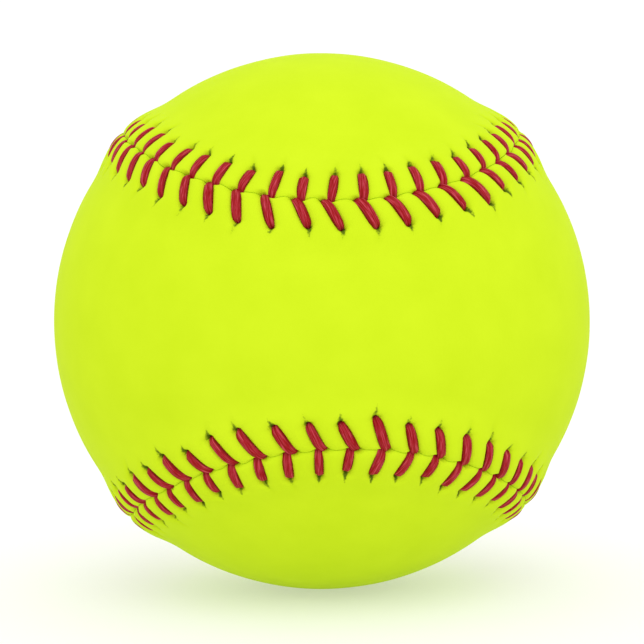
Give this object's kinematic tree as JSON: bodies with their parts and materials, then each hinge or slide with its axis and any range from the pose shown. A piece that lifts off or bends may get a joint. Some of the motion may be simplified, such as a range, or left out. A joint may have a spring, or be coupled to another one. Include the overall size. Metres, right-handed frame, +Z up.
{
  "type": "baseball",
  "caption": "Round stitched ball: figure-eight leather panels joined by raised red double stitching over wool windings and a cushioned cork centre.",
  "frame": {"origin": "centre of the ball", "axes": "+Z up; -Y is the front, the waist of the front panel, with the seam level above and below it; +X to the right seen from the front"},
  "size_m": [0.0742, 0.0748, 0.0742],
  "materials": {
    "composition_cork": "pressed cork granules, matte",
    "black_rubber": "moulded, matte",
    "red_rubber": "moulded, matte",
    "grey_wool": "wound wool yarn",
    "white_wool": "wound wool yarn",
    "finish_yarn": "fine wound cotton and polyester yarn",
    "yellow_leather": "dyed smooth leather, matte",
    "waxed_red_thread": "waxed twisted thread"
  },
  "bodies": {
    "root": {"cork_core": "composition_cork", "black_rubber_cup_upper": "black_rubber", "black_rubber_cup_lower": "black_rubber", "rubber_gasket": "red_rubber", "red_rubber_cup_upper": "red_rubber", "red_rubber_cup_lower": "red_rubber", "first_grey_wool_winding": "grey_wool", "white_wool_winding": "white_wool", "second_grey_wool_winding": "grey_wool", "finish_winding": "finish_yarn", "cover_panel_front": "yellow_leather", "cover_panel_back": "yellow_leather", "stitch_thread_first": "waxed_red_thread", "stitch_thread_second": "waxed_red_thread"}
  },
  "joints": []
}
